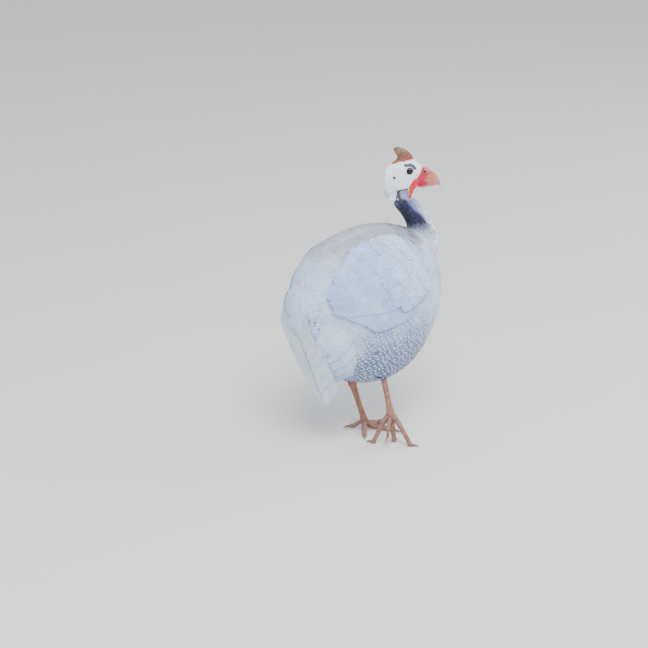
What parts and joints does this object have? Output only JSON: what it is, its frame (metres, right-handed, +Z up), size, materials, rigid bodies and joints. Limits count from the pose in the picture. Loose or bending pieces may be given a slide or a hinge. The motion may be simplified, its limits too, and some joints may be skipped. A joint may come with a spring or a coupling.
{
  "type": "helmeted guinea fowl figure",
  "caption": "Life-size standing helmeted guinea fowl of a pale lavender breed, head turned to its right, tail hanging, right foot just touching down.",
  "frame": {"origin": "on the floor, under the middle of the bird's outline seen from above", "axes": "+Z up, +X the way the body heads, +Y to the bird's left"},
  "size_m": [0.2716, 0.1828, 0.4395],
  "materials": {
    "plumage": "soft pale lavender-grey feathers with round white dots",
    "neck_plumage": "short hair-like slate-blue feathers",
    "flight_feathers": "smooth barred and dotted vanes",
    "face_skin": "matt, finely wrinkled bare skin",
    "wattle_skin": "soft, slightly glossy bare skin",
    "helmet_horn": "dull horn",
    "bill_horn": "satin horn",
    "eye": "wet gloss",
    "leg_scales": "dry scales, satin",
    "claw_horn": "satin horn"
  },
  "bodies": {
    "root": {"bill_lower": "bill_horn", "bill_upper": "bill_horn", "claw_back_left": "claw_horn", "claw_back_right": "claw_horn", "claw_inner_left": "claw_horn", "claw_inner_right": "claw_horn", "claw_middle_left": "claw_horn", "claw_middle_right": "claw_horn", "claw_outer_left": "claw_horn", "claw_outer_right": "claw_horn", "eye_left": "eye", "eye_right": "eye", "head": "face_skin", "helmet": "helmet_horn", "neck_lower": "plumage", "neck_upper": "neck_plumage", "tail": "flight_feathers", "tarsus_left": "leg_scales", "tarsus_right": "leg_scales", "thigh_left": "plumage", "thigh_right": "plumage", "toe_back_left": "leg_scales", "toe_back_right": "leg_scales", "toe_inner_left": "leg_scales", "toe_inner_right": "leg_scales", "toe_middle_left": "leg_scales", "toe_middle_right": "leg_scales", "toe_outer_left": "leg_scales", "toe_outer_right": "leg_scales", "torso": "plumage", "wattle_left": "wattle_skin", "wattle_right": "wattle_skin", "wing_left": "flight_feathers", "wing_right": "flight_feathers"}
  },
  "joints": []
}
